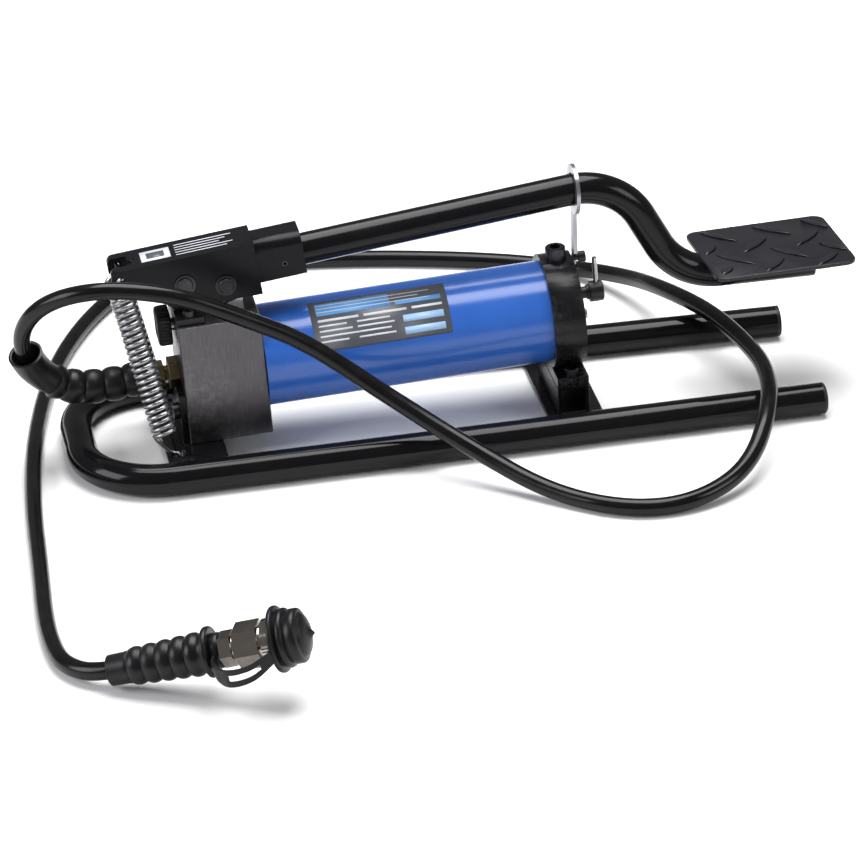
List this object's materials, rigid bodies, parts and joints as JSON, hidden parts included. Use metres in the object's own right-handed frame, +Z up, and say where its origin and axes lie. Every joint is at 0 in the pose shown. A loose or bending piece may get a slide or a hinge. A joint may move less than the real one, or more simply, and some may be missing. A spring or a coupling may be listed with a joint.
{
  "type": "foot-operated hydraulic pump",
  "caption": "Foot-operated hydraulic pump on a bent tube base, with an oil reservoir, sprung pedal lever, release knob, hose and capped quick coupler.",
  "frame": {"origin": "on the floor, below the middle of the pump without its hose", "axes": "+X towards the pedal, +Z up, the outlet and release knob face -X"},
  "size_m": [0.6783, 0.7465, 0.2021],
  "materials": {
    "black_gloss": "gloss",
    "black_satin": "satin",
    "bracket_paint": "satin",
    "blue_gloss": "gloss",
    "block_steel": "oiled",
    "zinc": "satin",
    "yellow_zinc": "satin",
    "steel": "satin",
    "black_oxide": "satin",
    "chrome": "polished",
    "rubber": "matte",
    "hose_black": "gloss",
    "black_plastic": "matte",
    "cap_plastic": "satin"
  },
  "bodies": {
    "base": {"frame_tube": "black_gloss", "leg_plugs": "black_plastic", "front_bracket": "black_satin", "rear_cross_plate": "black_satin", "saddle_bar": "black_satin", "ring_clamp": "black_satin", "saddle_screws": "black_oxide", "filler_screw": "black_oxide", "reservoir_tube": "blue_gloss", "end_cap": "black_satin", "tank_seal_rear": "rubber", "tank_seal_front": "rubber", "tie_rod": "steel", "tie_rod_nut": "black_oxide", "lock_screw": "steel", "pump_block": "block_steel", "bracket_screws": "black_oxide", "outlet_check_ball": "steel", "suction_tube": "steel", "suction_strainer": "steel", "gland_nut": "steel", "plunger_seal": "rubber", "pivot_lug": "bracket_paint", "lug_screws": "black_oxide", "spring_near": "zinc", "spring_far": "zinc", "outlet_adaptor": "yellow_zinc", "swivel_nut": "yellow_zinc", "pump_end_ferrule": "steel", "hose": "hose_black", "pump_end_boot": "rubber", "far_end_boot": "rubber", "far_end_ferrule": "steel", "hose_adaptor": "zinc", "coupler_body": "chrome", "coupler_collar": "chrome", "cap_strap": "rubber"},
    "lever_arm": {"lever_bracket": "bracket_paint", "pivot_pin": "steel", "plunger_pin": "steel", "pin_retaining_rings": "black_oxide", "tube_socket": "bracket_paint", "set_screw": "black_oxide", "lever_tube": "black_gloss", "lever_end_plug": "black_plastic", "pedal_plate": "black_satin"},
    "plunger": {"plunger": "steel"},
    "release_valve": {"release_stem": "steel", "release_knob": "black_plastic"},
    "vent_valve": {"vent_screw": "steel"},
    "vent_handle": {"vent_pin": "steel"},
    "lock_link": {"lock_link": "zinc"},
    "cap": {"dust_cap": "cap_plastic"}
  },
  "joints": [
    {"name": "lever_swing", "type": "hinge", "parent": "base", "child": "lever_arm", "pos_m": [-0.2097, 0, 0.14455], "axis": [0, -1, 0], "range_deg": [0, 32], "deforming": ["spring_near", "spring_far"]},
    {"name": "plunger_stroke", "type": "slide", "parent": "base", "child": "plunger", "axis": [-0.0466, 0, 0.9989], "range_m": [0, 0.018]},
    {"name": "release_turn", "type": "hinge", "parent": "base", "child": "release_valve", "pos_m": [-0.22654, 0, 0.10432], "axis": [-0.9989, 0, -0.0466], "range_deg": [0, 180]},
    {"name": "vent_turn", "type": "hinge", "parent": "base", "child": "vent_valve", "pos_m": [0.11337, 0, 0.09264], "axis": [0.9989, 0, 0.0466], "range_deg": [0, 180]},
    {"name": "vent_handle_slide", "type": "slide", "parent": "vent_valve", "child": "vent_handle", "axis": [-0.0466, 0, 0.9989], "range_m": [-0.02, 0]},
    {"name": "lock_link_swing", "type": "hinge", "parent": "lever_arm", "child": "lock_link", "pos_m": [0.09978, 0, 0.18207], "axis": [0.993, 0, 0.1181], "range_deg": [0, 60]},
    {"name": "cap_pull", "type": "slide", "parent": "base", "child": "cap", "axis": [0.9077, -0.3304, 0.2588], "range_m": [0, 0.03]}
  ],
  "couplings": [
    {"joint": "plunger_stroke", "follows": "lever_swing", "m_per_rad": 0.0311}
  ]
}
